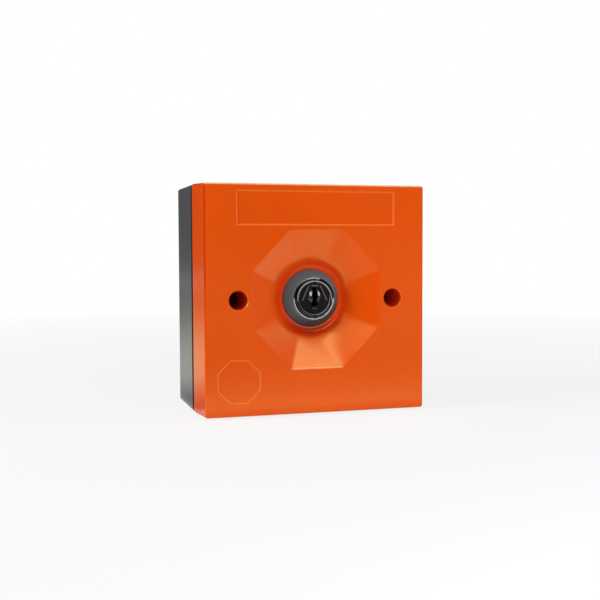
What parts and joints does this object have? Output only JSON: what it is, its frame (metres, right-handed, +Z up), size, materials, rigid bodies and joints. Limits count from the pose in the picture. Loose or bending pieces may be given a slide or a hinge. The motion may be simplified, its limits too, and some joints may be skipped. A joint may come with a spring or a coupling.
{
  "type": "manual call point",
  "caption": "Key-operated manual call point: orange front plate with an octagonal dish and key lock on a dark grey surface box, with two cam-driven switches and a terminal block.",
  "frame": {"origin": "centre of the back box's rear face, on the wall", "axes": "+Y into the wall, -Y out towards the user, +Z up, +X to the right as seen by the user"},
  "size_m": [0.087, 0.052, 0.087],
  "materials": {
    "orange_abs": "smooth glossy orange moulding, through-coloured",
    "grey_abs": "dark grey moulding, low gloss with a fine spark texture",
    "collar_grey": "mid-grey satin collar",
    "black_zinc": "black finished zinc die casting",
    "plug_black": "glossy black finished plug",
    "brass": "turned brass, slightly dull",
    "bright_steel": "zinc plated steel",
    "black_steel": "blackened steel",
    "cam_acetal": "natural acetal",
    "switch_black": "black switch moulding",
    "lid_grey": "dark grey switch lid",
    "copper": "copper alloy contact strip with silver rivets",
    "board_green": "green lacquered glass-fibre board",
    "terminal_green": "green polyamide terminal moulding",
    "resistor_beige": "beige lacquered resistor with tinned leads"
  },
  "bodies": {
    "station": {"back_box": "grey_abs", "front_plate": "orange_abs", "plate_screws": "black_steel", "screw_inserts": "brass", "earth_terminal": "brass", "earth_screw": "bright_steel", "lock_collar": "collar_grey", "lock_body": "black_zinc", "lock_washer": "bright_steel", "lock_nut": "bright_steel", "circuit_board": "board_green", "board_screws": "bright_steel", "alarm_resistor": "resistor_beige", "switch_cases": "switch_black", "switch_lids": "lid_grey", "switch_contacts": "copper", "switch_screws": "bright_steel", "switch_nuts": "bright_steel", "spring_left": "bright_steel", "spring_right": "bright_steel", "terminal_housing": "terminal_green", "terminal_clamps": "brass", "terminal_screws": "bright_steel", "terminal_pins": "brass"},
    "lock_rotor": {"lock_plug": "plug_black", "wafers": "brass", "cam": "cam_acetal", "cam_washer": "bright_steel", "cam_screw": "bright_steel"},
    "left_plunger": {"plunger_left": "cam_acetal", "bridge_left": "copper"},
    "right_plunger": {"plunger_right": "cam_acetal", "bridge_right": "copper"}
  },
  "joints": [
    {"name": "key_turn", "type": "hinge", "parent": "station", "child": "lock_rotor", "pos_m": [0, -0.028, 0], "axis": [0, 1, 0], "range_deg": [0, 90]},
    {"name": "left_plunger_slide", "type": "slide", "parent": "station", "child": "left_plunger", "axis": [-1, 0, 0], "range_m": [0, 0.0015], "deforming": ["spring_left"]},
    {"name": "right_plunger_slide", "type": "slide", "parent": "station", "child": "right_plunger", "axis": [1, 0, 0], "range_m": [0, 0.0015], "deforming": ["spring_right"]}
  ],
  "couplings": [
    {"joint": "left_plunger_slide", "follows": "key_turn", "m_per_rad": 0.0009549},
    {"joint": "right_plunger_slide", "follows": "key_turn", "m_per_rad": 0.0009549}
  ]
}
